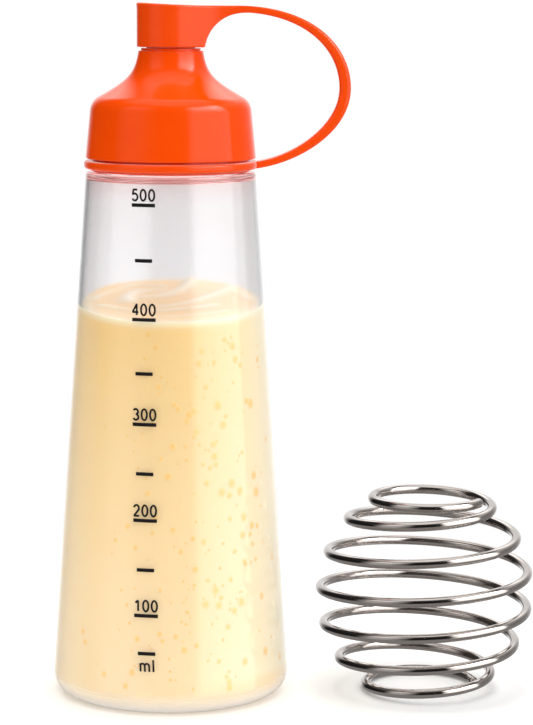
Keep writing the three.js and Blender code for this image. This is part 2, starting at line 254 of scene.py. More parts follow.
def arc(centre, radius, start, end, steps=16):
    """Circular arc: the centre plus the radius at angles that go evenly from start to end."""
    angle = np.linspace(start, end, steps + 1)
    return np.column_stack([centre[0] + radius * np.cos(angle), centre[1] + radius * np.sin(angle)])


def turned(section, sides=192):
    """Surface of revolution: a profile point (r, z) at angle a lies at (r cos a, r sin a, z)."""
    angle = np.linspace(0, TURN, sides, endpoint=False)
    across, up = section[:, :1], section[:, 1:]
    return np.stack([across * np.cos(angle), across * np.sin(angle), up + 0 * angle], axis=-1)


def swept(path, across, along, outline):
    """Section carried along a path: path point plus outline X times one unit vector and outline Y
    times another. Both ends close on the path's end points."""
    points = path[:, None] + outline[..., :1] * across[:, None] + outline[..., 1:] * along[:, None]
    first = np.repeat(path[:1, None], points.shape[1], axis=1)
    last = np.repeat(path[-1:, None], points.shape[1], axis=1)
    return np.concatenate([first, points, last])


def grid_faces(rows, columns, rows_close):
    """Quads of a grid whose columns close on themselves, and whose rows do if asked."""
    bands = rows if rows_close else rows - 1
    row, column = np.meshgrid(np.arange(bands), np.arange(columns), indexing="ij")
    here, beyond = row * columns, (row + 1) % rows * columns
    onward = (column + 1) % columns
    return np.stack([here + column, here + onward, beyond + onward, beyond + column], -1).reshape(-1, 4)


def new_object(name, points, faces):
    """Object from points in millimetres and a list of faces."""
    mesh = bpy.data.meshes.new(name)
    mesh.from_pydata((np.asarray(points, float).reshape(-1, 3) * MM).tolist(), [], [list(f) for f in faces])
    piece = bpy.data.objects.new(name, mesh)
    bpy.context.scene.collection.objects.link(piece)
    return piece


def mark(piece, name, values):
    """Stores one number per point, which a material can read."""
    attribute = piece.data.attributes.new(name, "FLOAT", "POINT")
    attribute.data.foreach_set("value", np.asarray(values, np.float32).ravel())


def merge_seams(piece):
    """Merges coincident points at poles and seams, and turns the faces outwards."""
    shape = bmesh.new()
    shape.from_mesh(piece.data)
    bmesh.ops.remove_doubles(shape, verts=shape.verts, dist=1e-4 * MM)
    if shape.calc_volume(signed=True) < 0:
        bmesh.ops.reverse_faces(shape, faces=shape.faces)
    shape.to_mesh(piece.data)
    shape.free()


def closed_piece(name, points, rows_close=False):
    """Closed surface from a grid of points."""
    piece = new_object(name, points, grid_faces(*points.shape[:2], rows_close))
    merge_seams(piece)
    return piece


def finish(piece, finish_material, body=None, replaced=(), sharp=40):
    """Smooth shading up to an angle in degrees, material, body and the CAD nodes it stands for."""
    piece.data.shade_smooth()
    piece.data.set_sharp_from_angle(angle=math.radians(sharp))
    piece.data.materials.clear()
    piece.data.materials.append(finish_material)
    if body:
        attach(piece, body)
    if replaced:
        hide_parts(*replaced)
    return piece


def applied(piece, name):
    """Writes the result of a piece's modifiers into its mesh."""
    seen = piece.evaluated_get(bpy.context.evaluated_depsgraph_get())
    mesh = bpy.data.meshes.new_from_object(seen)
    piece.modifiers.clear()
    piece.data = mesh
    mesh.name = name


# Materials

def linear(code):
    """Linear colour of an sRGB hex code such as "ff8000"."""
    shares = [int(code[i:i + 2], 16) / 255 for i in (0, 2, 4)]
    return [s / 12.92 if s <= 0.04045 else ((s + 0.055) / 1.055) ** 2.4 for s in shares] + [1]


def add(tree, kind, inputs=None, **settings):
    """Adds a node with its settings. Inputs are values, or sockets to link from."""
    node = tree.nodes.new(kind)
    for key, value in settings.items():
        setattr(node, key, value)
    for key, value in (inputs or {}).items():
        if isinstance(value, bpy.types.NodeSocket):
            tree.links.new(value, node.inputs[key])
        else:
            node.inputs[key].default_value = value
    return node


def ramp(tree, value, stops):
    """Colour ramp through stops of position and colour."""
    node = add(tree, "ShaderNodeValToRGB", {"Fac": value})
    first, *others = stops
    elements = node.color_ramp.elements
    elements.remove(elements[1])
    elements[0].position, elements[0].color = first
    for position, colour in others:
        elements.new(position).color = colour
    return node.outputs["Color"]


def spread(tree, value, start=0.0, end=1.0, low=0.0, high=1.0, kind="LINEAR"):
    """Goes from low to high while a value goes from start to end."""
    return add(tree, "ShaderNodeMapRange",
               {"Value": value, "From Min": start, "From Max": end, "To Min": low, "To Max": high},
               interpolation_type=kind).outputs[0]


def maths(tree, operation, *values):
    """Result of an operation on values or sockets."""
    return add(tree, "ShaderNodeMath", dict(enumerate(values)), operation=operation).outputs[0]


def mixed(tree, share, first, second, kind="RGBA"):
    """Goes from the first to the second with a share."""
    return add(tree, "ShaderNodeMix", {"Factor": share, "A": first, "B": second},
               data_type=kind).outputs["Result"]


def placed(tree):
    """Object coordinates."""
    return add(tree, "ShaderNodeTexCoord").outputs["Object"]


def noise(tree, size, detail=2):
    """Soft noise that repeats about once in a size in millimetres."""
    return add(tree, "ShaderNodeTexNoise",
               {"Vector": placed(tree), "Scale": 1 / (size * MM), "Detail": detail}).outputs["Fac"]


def seen_straight(tree):
    """One for what the camera sees, directly or through clear things, and nought for other light."""
    path = add(tree, "ShaderNodeLightPath").outputs
    return maths(tree, "MAXIMUM", path["Is Camera Ray"], path["Is Transmission Ray"])


def empty_material(name):
    """New material with an empty node tree."""
    made = bpy.data.materials.new(name)
    made.use_nodes = True
    made.node_tree.nodes.clear()
    return made, made.node_tree


def shaded(tree, shader):
    """Links a shader to the material's output."""
    add(tree, "ShaderNodeOutputMaterial", {"Surface": shader.outputs[0]})


def translucent_polyethylene():
    """Blow-moulded natural polyethylene: clear enough to show what it holds, milky, and milkier at a
    slant and in the thick heel, where the sight line runs longer in it, with a satin skin. The orange
    ring's glow in the shoulder is a painted pink tint. Light passes on through the wall to what is inside."""
    made, tree = empty_material("translucent_polyethylene")
    height = add(tree, "ShaderNodeSeparateXYZ", {"Vector": placed(tree)}).outputs["Z"]
    # Painted glow: the wall's colour turns pink towards the shoulder, standing in for the orange ring's
    # light
    tone = ramp(tree, spread(tree, height, PAINTED_GLOW_FOOT * MM, PAINTED_GLOW_TOP * MM), [
        (0.0, linear("f9f9fb")), (0.6, linear("f8f6f7")), (0.81, linear("f5ecec")),
        (0.84, linear("f3bcb9")), (0.95, linear("f2b4b0")),
    ])
    slant = add(tree, "ShaderNodeLayerWeight", {"Blend": 0.5}).outputs["Facing"]
    clear = maths(tree, "MULTIPLY", spread(tree, slant, start=0.3, low=0.9, high=0.6),
                  spread(tree, height, HAZE_FOOT * MM, HAZE_TOP * MM, low=0.35))
    wall = add(tree, "ShaderNodeBsdfPrincipled",
               {"Base Color": tone, "Roughness": spread(tree, noise(tree, 6, 3), low=0.09, high=0.13),
                "IOR": 1.5, "Transmission Weight": clear})
    path = add(tree, "ShaderNodeLightPath").outputs
    passing = maths(tree, "MAXIMUM", path["Is Shadow Ray"], path["Is Diffuse Ray"])
    through = add(tree, "ShaderNodeBsdfTransparent")
    shaded(tree, add(tree, "ShaderNodeMixShader", {0: maths(tree, "MULTIPLY", passing, 0.96),
                                                   1: wall.outputs[0], 2: through.outputs[0]}))
    return made


def thick_batter(name, scatter):
    """Egg and flour batter: creamy yellow and moist, more golden near the top, whiter on crests, with a
    painted highlight along its front rim and on its right side, painted shade in gold at its left and
    along its back rim, golden bubbles against the wall and light that scatters a little way in. The
    bubbles' own skin is too thin to scatter light."""
    made, tree = empty_material(name)
    height = add(tree, "ShaderNodeSeparateXYZ", {"Vector": placed(tree)}).outputs["Z"]
    drift = maths(tree, "MULTIPLY_ADD", noise(tree, 30), 0.03, height)
    colour = mixed(tree, spread(tree, drift, end=0.14), linear("fcdfb0"), linear("fdd280"))
    # The mark for crests also paints a highlight on the front rim and right side; the golden mark also
    # paints shade at the left and along the back rim
    for tone, code in (("warm_and_painted_shade", "fdcb70"), ("crest_and_painted_highlight", "fff3d0"), ("bubble", "fcc75e")):
        share = add(tree, "ShaderNodeAttribute", attribute_name=tone).outputs["Fac"]
        colour = mixed(tree, share, colour, linear(code))
    bump = add(tree, "ShaderNodeBump",
               {"Height": noise(tree, 1.5, 3), "Strength": 0.15, "Distance": 0.0002})
    shaded(tree, add(tree, "ShaderNodeBsdfPrincipled",
                     {"Base Color": colour, "Roughness": 0.4, "Normal": bump.outputs[0],
                      "Subsurface Weight": scatter, "Subsurface Radius": (1.0, 0.7, 0.4),
                      "Subsurface Scale": 0.004}))
    return made


def grained(name, size, detail, codes, rough, sockets):
    """Material whose colour wanders between two tones with a soft noise of a size in millimetres. So
    does its roughness where two values are given."""
    made, tree = empty_material(name)
    grain = noise(tree, size, detail)
    colour = mixed(tree, grain, linear(codes[0]), linear(codes[1]))
    if isinstance(rough, tuple):
        rough = spread(tree, grain, low=rough[0], high=rough[1])
    shaded(tree, add(tree, "ShaderNodeBsdfPrincipled",
                     {"Base Color": colour, "Roughness": rough, **sockets}))
    return made


def studio_paper():
    """White paper floor, which keeps its shadows. Away from the object the paper itself is dim, so that
    little light comes from below, and the camera sees plain white."""
    made, tree = empty_material("studio_paper")
    reach = add(tree, "ShaderNodeVectorMath", {0: placed(tree)}, operation="LENGTH").outputs["Value"]
    far = spread(tree, reach, 0.06, 0.32, low=0.15, kind="SMOOTHSTEP")
    tone = ramp(tree, reach, [(0.15, linear("f6f6f5")), (0.45, linear("a8a8a8"))])
    paper = add(tree, "ShaderNodeBsdfDiffuse", {"Color": tone})
    white = add(tree, "ShaderNodeEmission", {"Color": (1, 1, 1, 1), "Strength": 1})
    shaded(tree, add(tree, "ShaderNodeMixShader", {0: maths(tree, "MULTIPLY", seen_straight(tree), far),
                                                   1: paper.outputs[0], 2: white.outputs[0]}))
    return made


# Bottle

WALL_LEAN = math.atan((BASE_RADIUS - SHOULDER_RADIUS) / SHOULDER_HEIGHT)
FLOOR_TOP = PUSH_UP + BOTTLE_FLOOR
INNER_HEEL = HEEL_ROUND - BOTTLE_WALL


def wall_radius(height, depth=0.0):
    """Radius of the wall's cone at a height, moved inwards square to the wall."""
    return BASE_RADIUS - height * math.tan(WALL_LEAN) - depth / math.cos(WALL_LEAN)


def heel(floor, depth, radius):
    """Rounding from a level floor up into the cone."""
    centre = (wall_radius(floor + radius, depth + radius), floor + radius)
    return arc(centre, radius, -math.pi / 2, WALL_LEAN)


def shoulder(top, depth, radius):
    """Rounding from the cone into a level shoulder."""
    centre = (wall_radius(top - radius, depth + radius), top - radius)
    return arc(centre, radius, WALL_LEAN, math.pi / 2)


def bottle_section():
    """Profile up the outside and down the inside: pushed-up base, foot ring, heel, cone, shoulder,
    neck, rim, and the same way back one wall further in."""
    outer_heel = heel(0, 0, HEEL_ROUND)
    outer_shoulder = shoulder(SHOULDER_HEIGHT, 0, SHOULDER_ROUND)
    inner_shoulder = shoulder(SHOULDER_HEIGHT - NECK_WALL, BOTTLE_WALL, SHOULDER_ROUND)[::-1]
    inner_heel = heel(FLOOR_TOP, BOTTLE_WALL, INNER_HEEL)[::-1]
    foot_inside = outer_heel[0, 0] - FOOT_WIDTH
    base = profile((0, PUSH_UP), (foot_inside - PUSH_UP, PUSH_UP, 0.6), (foot_inside, 0, 0.6),
                   tuple(outer_heel[0]))
    fillet = (NECK_RADIUS + NECK_FILLET, SHOULDER_HEIGHT + NECK_FILLET)
    neck = profile((NECK_RADIUS, fillet[1]), (NECK_RADIUS, RIM_HEIGHT, RIM_ROUND),
                   (NECK_BORE, RIM_HEIGHT, RIM_ROUND), (NECK_BORE, inner_shoulder[0, 1], RIM_ROUND),
                   tuple(inner_shoulder[0]))
    return np.vstack([
        base, outer_heel[1:], straight(outer_heel[-1], outer_shoulder[0]), outer_shoulder,
        arc(fillet, NECK_FILLET, -math.pi / 2, -math.pi, 6), neck[1:], inner_shoulder[1:],
        straight(inner_shoulder[-1], inner_heel[0]), inner_heel,
        straight(inner_heel[-1], (0, FLOOR_TOP)), [(0, FLOOR_TOP)],
    ])


def thread_points():
    """Helical ridge on the neck: a rounded triangle carried up a helix, which swells from nothing at
    one end and fades at the other. Its root lies inside the neck."""
    turns = np.linspace(0, THREAD_TURNS, 260)
    angle = TURN * turns
    fade = np.clip(np.minimum(turns, THREAD_TURNS - turns) / THREAD_FADE, 0, 1) ** 0.5
    outward = np.column_stack([np.cos(angle), np.sin(angle), 0 * angle])
    path = NECK_RADIUS * outward + np.array([0, 0, 1]) * (THREAD_START + THREAD_LEAD * turns)[:, None]
    upward = np.tile([0.0, 0, 1], (len(turns), 1))
    ridge = np.array([(-0.3, -0.5), (0.0, -0.5), (0.75, -0.2), (1.0, -0.08), (1.0, 0.08), (0.75, 0.2),
                      (0.0, 0.5), (-0.3, 0.5)]) * (THREAD_DEPTH, THREAD_WIDTH)
    outline = ridge[None] * np.stack([fade, 0.3 + 0.7 * fade], -1)[:, None]
    return swept(path, outward, upward, outline)


# Batter

def rim_wave(angle):
    """Height of the batter's edge above its tilted level, round the wall."""
    return 0.12 * np.sin(3 * angle + 0.4) + 0.1 * np.sin(5 * angle + 2.1) + 0.05 * np.sin(11 * angle)


def surface_relief(x, y):
    """Folds left by pouring: for each fold, a rounded ridge that falls off with the distance from its
    curve and sinks towards the curve's end, and a small peak where the stream ended."""
    along = np.linspace(1, 0.35, FOLD_SAMPLES + 1)
    relief = PEAK_HEIGHT * np.exp(-((x - PEAK_X) ** 2 + (y - PEAK_Y) ** 2) / 2.5)
    for start, pull, end, height, width in FOLDS:
        line = bezier(start, pull, end, steps=FOLD_SAMPLES)
        distance = np.hypot(x[..., None] - line[:, 0], y[..., None] - line[:, 1])
        relief = relief + (height * along * np.exp(-(distance / width) ** 2)).max(-1)
    return relief


def batter_fill():
    """Closed fill: floor, heel and side from a profile stretched up to the edge's height at each
    angle, then the poured surface from the edge in to the middle. Its marks whiten the folds, paint a
    highlight along the front rim and at the right, and tint the surface golden, with painted shade in
    gold at the back rim and under the rim at the left."""
    depth = BOTTLE_WALL - WETTING
    floor = FLOOR_TOP - WETTING
    round_heel = heel(floor, depth, INNER_HEEL + WETTING)
    angle = np.linspace(0, TURN, BATTER_COLUMNS, endpoint=False)
    bottom = turned(np.vstack([profile((0, floor), tuple(round_heel[0])), round_heel[1:]]), len(angle))

    edge_y = wall_radius(BATTER_LEVEL, depth) * np.sin(angle)
    edge_height = BATTER_LEVEL + edge_y * math.tan(BATTER_TILT) + rim_wave(angle)
    climb = np.linspace(0, 1, SIDE_ROWS)[1:, None] ** 0.8
    side_height = round_heel[-1, 1] + (edge_height - round_heel[-1, 1]) * climb
    side_radius = wall_radius(side_height, depth)
    side = np.stack([side_radius * np.cos(angle), side_radius * np.sin(angle), side_height], axis=-1)

    inward = np.linspace(1, 0, TOP_ROWS)[1:, None] ** 0.9
    edge_radius = wall_radius(edge_height, depth)
    x = inward * edge_radius * np.cos(angle)
    y = inward * edge_radius * np.sin(angle)
    from_wall = (1 - inward) * edge_radius
    calm = 1 - np.exp(-(from_wall / CALM_WIDTH) ** 2)
    relief = surface_relief(x, y) * calm
    top_height = BATTER_LEVEL + y * math.tan(BATTER_TILT) + relief + rim_wave(angle) * (1 - calm)
    top_height[-1] = top_height[-1].mean()
    top = np.stack([x, y, top_height], axis=-1)

    below_rim = edge_height - side_height
    leftward = np.clip(0.35 - np.cos(angle), 0, 1)
    front = np.clip(0.7 - np.sin(angle), 0, 1)
    rightward = np.clip(np.cos(angle) - 0.25, 0, 1)
    # Painted highlight: whiter along the front rim and on the right side of the batter
    side_painted_highlight = 0.8 * front * np.exp(-(below_rim / 1.4) ** 2) + 0.8 * rightward
    # Painted shade: more golden under the rim on the left
    side_painted_shade = 0.6 * leftward * np.exp(-below_rim / 22)
    # Whiter on the folds' crests, plus a painted highlight along the surface's front rim
    top_crest_and_painted_highlight = np.clip(1.3 * relief, 0, 1) + 0.8 * front * np.exp(-from_wall / 3.0)
    # Golden over the whole surface, and painted shade in gold along the back rim
    top_warm_and_painted_shade = 0.6 + 0.4 * np.clip(y / 12, 0, 1) * np.exp(-(from_wall / 5.0) ** 2)
    blank = np.zeros(bottom.shape[:2])

    points = np.concatenate([bottom, side, top])
    piece = new_object("batter_fill", points, grid_faces(*points.shape[:2], False))
    mark(piece, "crest_and_painted_highlight", np.clip(np.concatenate([blank, side_painted_highlight, top_crest_and_painted_highlight]), 0, 1))
    mark(piece, "warm_and_painted_shade", np.concatenate([blank, side_painted_shade, top_warm_and_painted_shade]))
    merge_seams(piece)
    return piece


def wall_bubbles():
    """Bubbles that touch the wall: seeded places on the batter's side, most of them at the front, each a
    shallow dome of three rings about its middle, flat at its back. The mark fades from the middle to
    the rim."""
    draw = np.random.default_rng(BUBBLE_SEED)
    gathers = draw.uniform(size=BUBBLE_COUNT) < 0.5
    angle = np.radians(np.where(gathers, draw.normal(BUBBLE_FRONT, BUBBLE_SCATTER, BUBBLE_COUNT),
                                draw.uniform(-180, 180, BUBBLE_COUNT)))
    height = draw.uniform(BUBBLE_LOWEST, BUBBLE_HIGHEST, BUBBLE_COUNT)
    radius = BUBBLE_LEAST + BUBBLE_SPREAD * draw.uniform(size=BUBBLE_COUNT) ** 2.2
    turn = np.linspace(0, TURN, BUBBLE_SIDES, endpoint=False)
    ring = np.array([0.4, 0.75, 1.0])
    across = np.append(0, ring[:, None] * np.cos(turn))
    up = np.append(0, ring[:, None] * np.sin(turn)) * BUBBLE_TALL
    reach = np.append(0, np.repeat(ring, BUBBLE_SIDES))

    z = height[:, None] + radius[:, None] * up
    middle = wall_radius(z, BOTTLE_WALL - WETTING)
    bearing = angle[:, None] + radius[:, None] * across / middle
    rise = BUBBLE_RISE * (1 - reach ** 2) * np.minimum(radius[:, None], 1) + 0.004
    outside = middle + rise
    points = np.stack([outside * np.cos(bearing), outside * np.sin(bearing), z], axis=-1)

    corner = np.arange(BUBBLE_SIDES)
    onward = (corner + 1) % BUBBLE_SIDES
    fan = [(0, 1 + a, 1 + b) for a, b in zip(corner, onward)]
    bands = [(a, a + BUBBLE_SIDES, b + BUBBLE_SIDES, b)
             for k in (0, 1) for a, b in zip(1 + k * BUBBLE_SIDES + corner, 1 + k * BUBBLE_SIDES + onward)]
    size = len(reach)
    dome = fan + bands + [tuple(size - 1 - corner)]
    faces = [[index + k * size for index in face] for k in range(BUBBLE_COUNT) for face in dome]
    piece = new_object("wall_bubbles", points, faces)
    mark(piece, "bubble", np.tile(np.clip(1.5 - 1.6 * reach, 0, 1), BUBBLE_COUNT))
    return piece


# Lid

def flare(foot, neck, steps=36):
    """Cubic curve that leaves the foot at the flare's slope there and reaches the neck at its own:
    its inner control points lie on the end tangents, a share of the way to where those cross."""
    foot_way = np.array([-math.cos(FLARE_FOOT_ANGLE), math.sin(FLARE_FOOT_ANGLE)])
    neck_way = np.array([math.cos(FLARE_NECK_ANGLE), -math.sin(FLARE_NECK_ANGLE)])
    foot, neck = np.asarray(foot), np.asarray(neck)
    pulls = np.linalg.solve(np.column_stack([foot_way, -neck_way]), neck - foot) * FLARE_PULL
    return bezier(foot, foot + foot_way * pulls[0], neck + neck_way * pulls[1], neck, steps=steps)


def lid_section():
    """Closed profile: sleeve with its bead, skirt, corner, flare, neck, landing and nozzle up the
    outside, then the bore, the funnel and the seat of the seal down the inside."""
    lean = math.atan((SKIRT_RADIUS - SKIRT_TOP_RADIUS) / (SKIRT_TOP - SKIRT_BOTTOM))
    centre = (SKIRT_TOP_RADIUS - CORNER_ROUND * math.cos(lean), SKIRT_TOP - CORNER_ROUND * math.sin(lean))
    corner = arc(centre, CORNER_ROUND, lean, math.pi / 2 - FLARE_FOOT_ANGLE)
    inner_round = CORNER_ROUND - LID_WALL
    inner_foot = (centre[0] + inner_round * math.sin(FLARE_FOOT_ANGLE),
                  centre[1] + inner_round * math.cos(FLARE_FOOT_ANGLE))
    throat = (NECK_BORE, inner_foot[1] + (inner_foot[0] - NECK_BORE) * math.tan(FLARE_FOOT_ANGLE))
    skirt = profile((LID_BORE, SLEEVE_BOTTOM + 1), (LID_BORE, SLEEVE_BOTTOM, 0.2),
                    (BEAD_RADIUS, SLEEVE_BOTTOM, 0.2), (BEAD_RADIUS, BEAD_TOP, 0.15),
                    (SLEEVE_RADIUS, BEAD_TOP, 0.1), (SLEEVE_RADIUS, SKIRT_BOTTOM, 0.2),
                    (SKIRT_RADIUS, SKIRT_BOTTOM, SKIRT_EDGE), tuple(corner[0]))
    nozzle = profile((LID_NECK_RADIUS, LID_NECK_TOP), (LID_NECK_RADIUS, LANDING_BOTTOM, 0.4),
                     (LANDING_RADIUS, LANDING_BOTTOM, 0.15), (LANDING_RADIUS, LANDING_TOP, 0.2),
                     (NOZZLE_RADIUS, LANDING_TOP, 0.3), (NOZZLE_TIP_RADIUS, NOZZLE_TOP, 0.5),
                     (NOZZLE_BORE, NOZZLE_TOP, 0.4), (NOZZLE_BORE, FUNNEL_TOP + FUNNEL_RISE, 0.5),
                     (NOZZLE_RADIUS, FUNNEL_TOP))
    seat = profile(throat, (NECK_BORE, LAND_HEIGHT, 0.3), (LID_BORE, LAND_HEIGHT, 0.3),
                   (LID_BORE, SLEEVE_BOTTOM + 1.2))
    return np.vstack([skirt, corner[1:-1], flare(corner[-1], (LID_NECK_RADIUS, LID_NECK_TOP)), nozzle[1:],
                      flare(throat, (NOZZLE_RADIUS, FUNNEL_TOP))[::-1][1:-1], seat])


def ring_section(inner, outer, bottom, top, rounding):
    """Closed rectangle with rounded corners."""
    middle = (bottom + top) / 2
    return profile((inner, middle), (inner, bottom, rounding), (outer, bottom, rounding),
                   (outer, top, rounding), (inner, top, rounding), (inner, middle + 0.01),
                   straight_steps=4, round_steps=8)


# Tether

def loop_angle(across):
    """The loop's angle at a distance from the bottle's axis."""
    return math.acos((across - LOOP_CENTRE) / LOOP_REACH)


LOOP_TOP = CAP_TOP - STRAP_THICKNESS / 2
LOOP_RISE = (LOOP_TOP - (RING_BOTTOM + RING_TOP) / 2) / (1 + math.sin(loop_angle(RING_RADIUS)))


def loop_points(angle):
    """Ellipse swollen at its upper diagonal and flattened at its lower one, level with the cap's top,
    as X and Z."""
    ease = np.where(angle > 0, -UPPER_SWELL, LOWER_EASE) * np.sin(2 * angle) ** 2
    return np.column_stack([LOOP_CENTRE + (LOOP_REACH - ease) * np.cos(angle),
                            LOOP_TOP - LOOP_RISE + (LOOP_RISE - ease) * np.sin(angle)])


def strap_frame(angle):
    """Middle line of the strap, the unit normal that points out of the loop, and the thickness."""
    step = 1e-4
    way = loop_points(angle + step) - loop_points(angle - step)
    way /= np.linalg.norm(way, axis=1, keepdims=True)
    thickness = STRAP_THICKNESS + STRAP_BELLY * np.cos(angle) ** 2
    return loop_points(angle), np.column_stack([way[:, 1], -way[:, 0]]), thickness


def strap_points():
    """Rounded rectangle, as wide as the strap and as thick as it is there, carried round the loop from
    inside the cap's arm to inside the ring."""
    angle = np.linspace(loop_angle(ARM_END - STRAP_IN_ARM), -loop_angle(RING_RADIUS - STRAP_IN_RING), 240)
    middle, normal, thickness = strap_frame(angle)
    quarter = np.linspace(0, math.pi / 2, 7)
    turn = np.concatenate([quarter + k * math.pi / 2 for k in range(4)])
    side = np.repeat([1, -1, -1, 1], len(quarter))
    face = np.repeat([1, 1, -1, -1], len(quarter))
    past_arm = np.clip((loop_angle(ARM_END) - angle) / 0.25, 0, 1)[:, None]
    rounding = ARM_EDGE + (STRAP_ROUND * thickness[:, None] - ARM_EDGE) * past_arm
    across = side * (STRAP_WIDTH / 2 - rounding) + rounding * np.cos(turn)
    up = face * (thickness[:, None] / 2 - rounding) + rounding * np.sin(turn)
    flat = np.zeros(len(angle))
    path = np.column_stack([middle[:, 0], flat, middle[:, 1]])
    sideways = np.tile([0.0, 1, 0], (len(angle), 1))
    outward = np.column_stack([normal[:, 0], flat, normal[:, 1]])
    return swept(path, sideways, outward, np.stack([across, up], axis=-1))


def cap_plan():
    """Outline of the cap and its arm from above: the cap's circle at the back, then on each side a
    quadratic curve that leaves the circle along a tangent and runs out level with the strap. With it
    comes the point of the circle that each point of the outline faces."""
    half_end = STRAP_WIDTH / 2 - ARM_SINK
    waist = np.array([CAP_RADIUS + ARM_WAIST, STRAP_WIDTH / 2])
    touch = math.atan2(waist[1], waist[0]) + math.acos(CAP_RADIUS / math.hypot(*waist))
    back = np.linspace(touch, TURN - touch, 120)
    circle = CAP_RADIUS * np.column_stack([np.cos(back), np.sin(back)])
    lower_side = bezier(circle[-1], waist * (1, -1), (ARM_END, -half_end), steps=48)
    end_face = np.column_stack([np.full(12, ARM_END), np.linspace(-half_end, half_end, 14)[1:-1]])
    upper_side = (lower_side * (1, -1))[::-1]
    outline = np.vstack([circle, lower_side[1:], end_face, upper_side[:-1]])
    front = np.linspace(TURN - touch, TURN + touch, len(outline) - len(back) + 2)[1:-1]
    bearing = np.concatenate([back, front])
    return outline, CAP_RADIUS * np.column_stack([np.cos(bearing), np.sin(bearing)])


def cap_points():
    """Cap and arm as one closed surface: the bore's roof and wall, the rim, then for each column the
    way from the cap's circle out under the arm, whose height follows a wide fillet, up the side and in
    over the top."""
    middle, normal, thickness = strap_frame(np.array([loop_angle(ARM_END)]))
    arm_top = (middle[0] + normal[0] * thickness[0] / 2)[1] - ARM_SINK
    arm_low = (middle[0] - normal[0] * thickness[0] / 2)[1]
    outline, foot = cap_plan()

    def level(plan, height):
        return np.column_stack([plan, np.broadcast_to(height, len(plan))])

    def to_end(plan):
        return np.clip((plan[:, 0] - LOOP_CENTRE) / (ARM_END - LOOP_CENTRE), 0, 1)

    def underside(plan):
        along = np.clip(CAP_RADIUS + ARM_FILLET - plan[:, 0], 0, ARM_FILLET)
        fillet = np.sqrt(ARM_FILLET ** 2 - along ** 2) - ARM_FILLET
        return np.maximum(CAP_BOTTOM, arm_low + ARM_SINK * to_end(plan) + fillet)

    def upside(plan):
        lift = CAP_LIFT * np.clip((CAP_RADIUS - plan[:, 0]) / (2 * CAP_RADIUS), 0, 1) ** 1.5
        return CAP_TOP - (CAP_TOP - arm_top) * to_end(plan) ** 2 + lift

    unit = foot / CAP_RADIUS
    roof = CAP_TOP - CAP_ROOF
    rows = [level(unit * CAP_BORE * s, roof) for s in np.linspace(0, 1, 8)]
    rows += [level(unit * CAP_BORE, z) for z in np.linspace(roof, CAP_BOTTOM, 14)[1:]]
    rows += [level(unit * r, CAP_BOTTOM) for r in np.linspace(CAP_BORE, CAP_RADIUS, 6)[1:]]
    gap = outline - foot
    rows += [level(foot + gap * t, underside(foot + gap * t)) for t in np.linspace(0, 1, 60)[1:] ** 1.5]
    low, high = underside(outline), upside(outline)
    round_part = np.clip(1 - np.linalg.norm(gap, axis=1) / 4, 0, 1)
    way = np.roll(outline, -1, axis=0) - np.roll(outline, 1, axis=0)
    aside = np.column_stack([way[:, 1], -way[:, 0]]) / np.linalg.norm(way, axis=1, keepdims=True)
    for s in np.linspace(0, 1, 25)[1:] ** 0.6:
        height = low + (high - low) * s
        lip = np.clip(1 - (high - height) / CAP_FLARE_HEIGHT, 0, 1) ** 2
        edge = CAP_EDGE - np.sqrt(CAP_EDGE ** 2 - np.clip(CAP_EDGE - (high - height), 0, CAP_EDGE) ** 2)
        rows.append(level(outline + aside * (CAP_FLARE * lip * round_part - edge)[:, None], height))
    wide = rows[-1][:, :2]
    rows += [level(wide * s, upside(wide * s)) for s in np.linspace(1, 0, 24)[1:]]
    return np.stack(rows)


# Mixing ball

def ball_wire_points():
    """One wire on an ellipsoid: the angle from the upper pole grows with the turns, faster near both
    ends, and eases into a level ring at each end. The section is a circle that closes in a small round
    at both ends."""
    turns = TOP_RING_TURNS + COIL_TURNS + BOTTOM_RING_TURNS
    close = np.linspace(0, WIRE_END, 9)[:-1] ** 2 / WIRE_END
    turn = np.concatenate([close, np.linspace(WIRE_END, turns - WIRE_END, 900), turns - close[::-1]])
    share = (turn - TOP_RING_TURNS) / COIL_TURNS
    eased = (1 + np.hypot(share, COIL_BLEND) - np.hypot(share - 1, COIL_BLEND)) / 2
    eased = eased + COIL_SPREAD * eased * (1 - eased) * (1 - 2 * eased)
    polar = TOP_RING_ANGLE + (math.pi - BOTTOM_RING_ANGLE - TOP_RING_ANGLE) * eased
    plan = BALL_START - TURN * turn
    height = BALL_HALF_HEIGHT * np.cos(polar)
    path = np.column_stack([BALL_RADIUS * np.sin(polar) * np.cos(plan) + BALL_SKEW * height,
                            BALL_RADIUS * np.sin(polar) * np.sin(plan), height])
    path += (BALL_X, 0, WIRE_RADIUS - height.min())
    tangent = np.gradient(path, turn, axis=0)
    tangent /= np.linalg.norm(tangent, axis=1, keepdims=True)
    outward = np.column_stack([np.cos(plan), np.sin(plan), 0 * plan])
    outward -= (outward * tangent).sum(1, keepdims=True) * tangent
    outward /= np.linalg.norm(outward, axis=1, keepdims=True)
    from_end = np.minimum(turn, turns - turn) / WIRE_END
    size = np.sqrt(1 - (1 - np.clip(from_end, 0, 1)) ** 2)
    angle = np.linspace(0, TURN, 20, endpoint=False)
    circle = WIRE_RADIUS * np.column_stack([np.cos(angle), np.sin(angle)])
    return swept(path, outward, np.cross(tangent, outward), circle[None] * size[:, None, None])


# Printed scale

